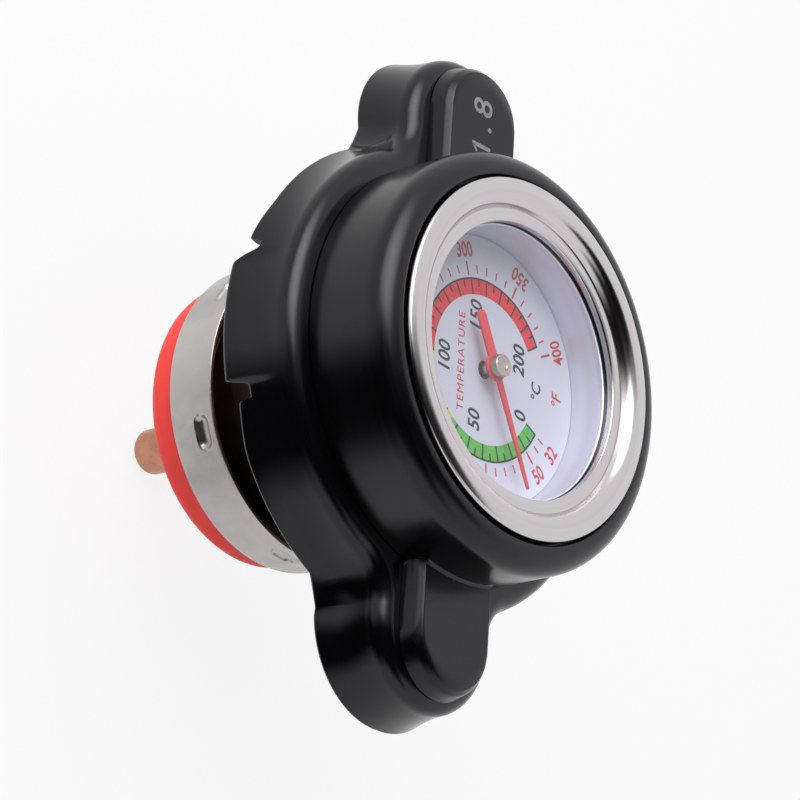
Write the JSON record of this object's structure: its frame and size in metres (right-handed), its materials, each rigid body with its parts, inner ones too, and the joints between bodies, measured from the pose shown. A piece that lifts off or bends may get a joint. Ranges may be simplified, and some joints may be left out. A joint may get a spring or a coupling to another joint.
{
  "type": "radiator cap with thermometer",
  "caption": "Pressure cap for a small radiator, with a two-eared pressed shell, a bimetal dial thermometer in its top, and a sprung valve and a sensing probe below.",
  "frame": {"origin": "centre of the plane where the upper gasket meets the top of the filler neck", "axes": "+Z along the cap's axis out of the dial, +Y to the top of the dial, +X along the ears"},
  "size_m": [0.0612, 0.0438, 0.046],
  "materials": {
    "shell_black": "gloss black coating on pressed steel",
    "housing_black": "satin black anodised",
    "case_bright": "bright drawn",
    "bezel_steel": "polished stainless",
    "lens_glass": "clear, flat",
    "black_rubber": "matt",
    "dial_white": "matt white, printed",
    "pointer_red": "satin red",
    "hub_nickel": "nickel, turned",
    "spring_steel": "bright drawn wire",
    "bush_brass": "turned",
    "probe_copper": "bare copper, slightly tarnished",
    "plated_steel": "zinc plated",
    "gasket_red": "matt dark red",
    "holder_brass": "satin, drawn",
    "cup_steel": "satin stainless, drawn",
    "seal_red": "satin red silicone"
  },
  "bodies": {
    "cap": {"cap_shell": "shell_black", "gauge_housing": "housing_black", "gauge_case": "case_bright", "bezel": "bezel_steel", "lens": "lens_glass", "lens_gasket": "black_rubber", "dial_plate": "dial_white", "spindle_bush": "bush_brass", "bimetal_coil": "spring_steel", "coil_anchor": "bush_brass", "probe_tube": "probe_copper", "stem_bush": "bush_brass", "stem_o_ring": "black_rubber", "stem_nut": "plated_steel", "nut_washer": "plated_steel", "diaphragm": "spring_steel", "upper_gasket": "gasket_red", "spring_holder": "holder_brass", "pressure_spring": "spring_steel"},
    "needle": {"pointer": "pointer_red", "pointer_hub": "hub_nickel", "spindle": "spring_steel"},
    "pressure_valve": {"valve_cup": "cup_steel", "lower_seal": "seal_red", "seal_retainer": "cup_steel", "vacuum_spring": "spring_steel"},
    "vacuum_valve": {"vacuum_disc": "cup_steel", "vacuum_seal": "black_rubber", "vacuum_clip": "plated_steel"}
  },
  "joints": [
    {"name": "pointer_turn", "type": "hinge", "parent": "cap", "child": "needle", "pos_m": [0, 0, 0.0086], "axis": [0, 0, 1], "range_deg": [-265.5, 34.5], "stiffness_Nm_per_rad": 0.00002},
    {"name": "pressure_lift", "type": "slide", "parent": "cap", "child": "pressure_valve", "axis": [0, 0, 1], "range_m": [0, 0.0014], "stiffness_N_per_m": 1500, "deforming": ["pressure_spring"]},
    {"name": "vacuum_drop", "type": "slide", "parent": "pressure_valve", "child": "vacuum_valve", "axis": [0, 0, -1], "range_m": [0, 0.001], "stiffness_N_per_m": 200, "deforming": ["vacuum_spring"]}
  ]
}
